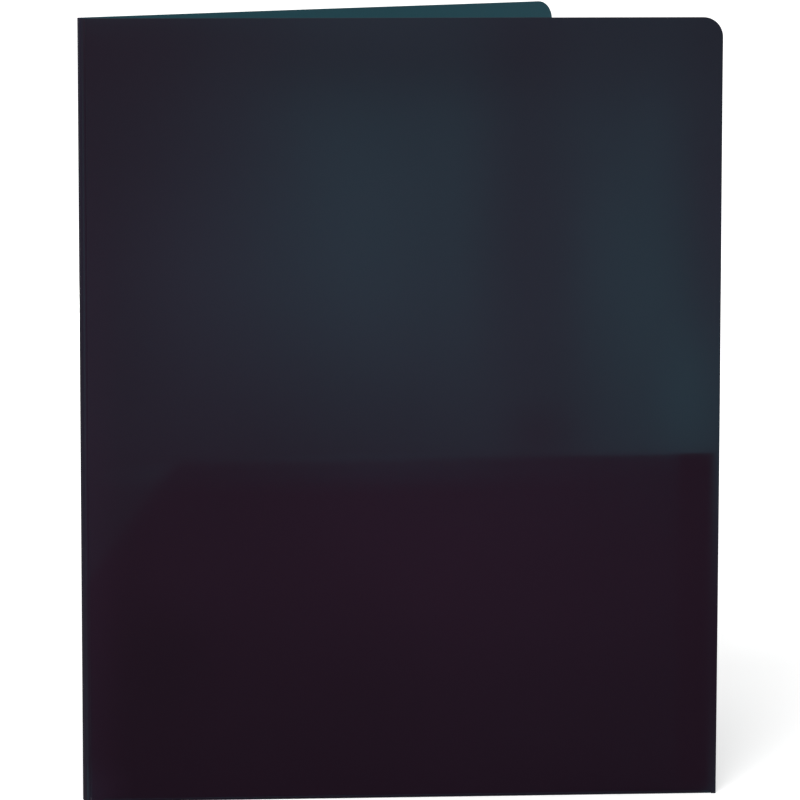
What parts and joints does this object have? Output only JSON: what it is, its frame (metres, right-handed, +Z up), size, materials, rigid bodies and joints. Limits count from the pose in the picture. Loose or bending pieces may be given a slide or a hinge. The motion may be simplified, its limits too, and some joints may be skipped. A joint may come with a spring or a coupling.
{
  "type": "plastic file folder",
  "caption": "Translucent plastic folder with a pocket on each cover, hinged on two scored lines beside a narrow spine, standing slightly open.",
  "frame": {"origin": "centre of the bounding box at the bottom edge that the folder stands on", "axes": "+Z up along the spine, +X from the spine along the front cover to its free edge, -Y out of the front cover's outer face"},
  "size_m": [0.2436, 0.152, 0.2985],
  "materials": {
    "cover_plastic": "smoke-coloured translucent sheet, faintly frosted",
    "pocket_plastic": "the same sheet, darker where it lies double",
    "weld_plastic": "smooth where the welding tip pressed the sheet"
  },
  "bodies": {
    "back_cover_body": {"back_cover": "cover_plastic", "back_pocket": "pocket_plastic", "back_pocket_bottom_crease": "pocket_plastic", "back_pocket_side_crease": "pocket_plastic", "back_pocket_tab": "pocket_plastic", "back_weld_1": "weld_plastic", "back_weld_2": "weld_plastic", "back_weld_3": "weld_plastic", "back_weld_4": "weld_plastic"},
    "spine_body": {"spine": "cover_plastic", "front_score_line": "cover_plastic", "back_score_line": "cover_plastic"},
    "front_cover_body": {"front_cover": "cover_plastic", "front_pocket": "pocket_plastic", "front_pocket_bottom_crease": "pocket_plastic", "front_pocket_side_crease": "pocket_plastic", "front_pocket_tab": "pocket_plastic", "front_weld_1": "weld_plastic", "front_weld_2": "weld_plastic", "front_weld_3": "weld_plastic", "front_weld_4": "weld_plastic"}
  },
  "joints": [
    {"name": "back_score_hinge", "type": "hinge", "parent": "spine_body", "child": "back_cover_body", "pos_m": [-0.1215, -0.06944, 0.14925], "axis": [0, 0, -1], "range_deg": [-161.5, 18.5]},
    {"name": "front_score_hinge", "type": "hinge", "parent": "spine_body", "child": "front_cover_body", "pos_m": [-0.11947, -0.07551, 0.14925], "axis": [0, 0, 1], "range_deg": [-161.5, 18.5]}
  ]
}
